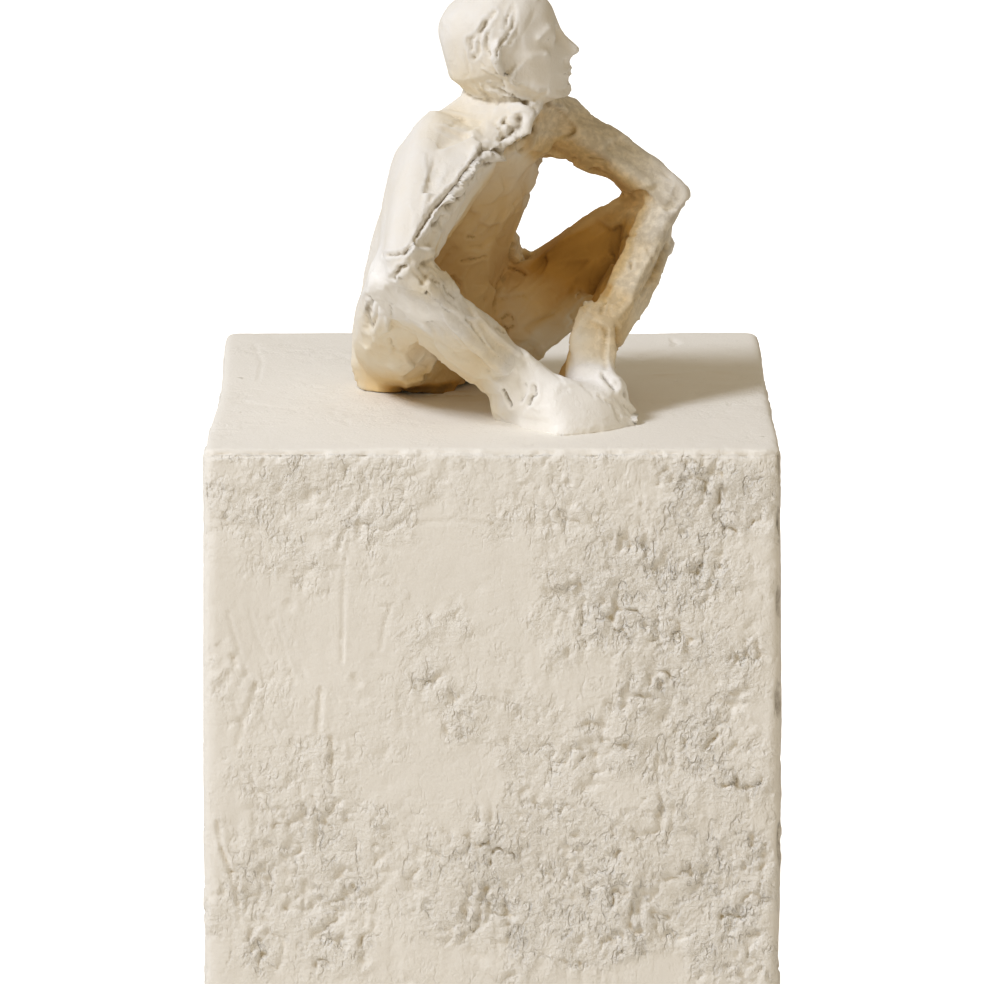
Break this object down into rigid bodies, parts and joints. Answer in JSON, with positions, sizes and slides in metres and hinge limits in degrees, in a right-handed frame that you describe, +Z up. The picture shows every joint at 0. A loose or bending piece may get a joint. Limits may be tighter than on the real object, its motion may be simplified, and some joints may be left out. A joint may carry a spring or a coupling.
{
  "type": "seated figure ornament on a cube plinth",
  "caption": "Rough hand-modelled seated figure, arms over drawn-up knees, on a pitted plaster cube plinth with felt pads.",
  "frame": {"origin": "on the surface that the ornament stands on, under the middle of the plinth", "axes": "+Z up, -Y towards the plinth's front as pictured, +X to the right of that front"},
  "size_m": [0.1014, 0.1014, 0.1765],
  "materials": {
    "figure_plaster": "matt",
    "plinth_plaster": "matt, pitted",
    "pin_steel": "drawn",
    "pad_felt": "felted"
  },
  "bodies": {
    "root": {"plinth": "plinth_plaster", "torso": "figure_plaster", "head": "figure_plaster", "left_leg": "figure_plaster", "right_leg": "figure_plaster", "left_arm": "figure_plaster", "right_arm": "figure_plaster", "seat_pin": "pin_steel", "neck_pin": "pin_steel", "left_shoulder_pin": "pin_steel", "right_shoulder_pin": "pin_steel", "left_hip_pin": "pin_steel", "right_hip_pin": "pin_steel", "left_foot_pin": "pin_steel", "right_foot_pin": "pin_steel", "felt_pad_front_left": "pad_felt", "felt_pad_front_right": "pad_felt", "felt_pad_back_left": "pad_felt", "felt_pad_back_right": "pad_felt"}
  },
  "joints": []
}
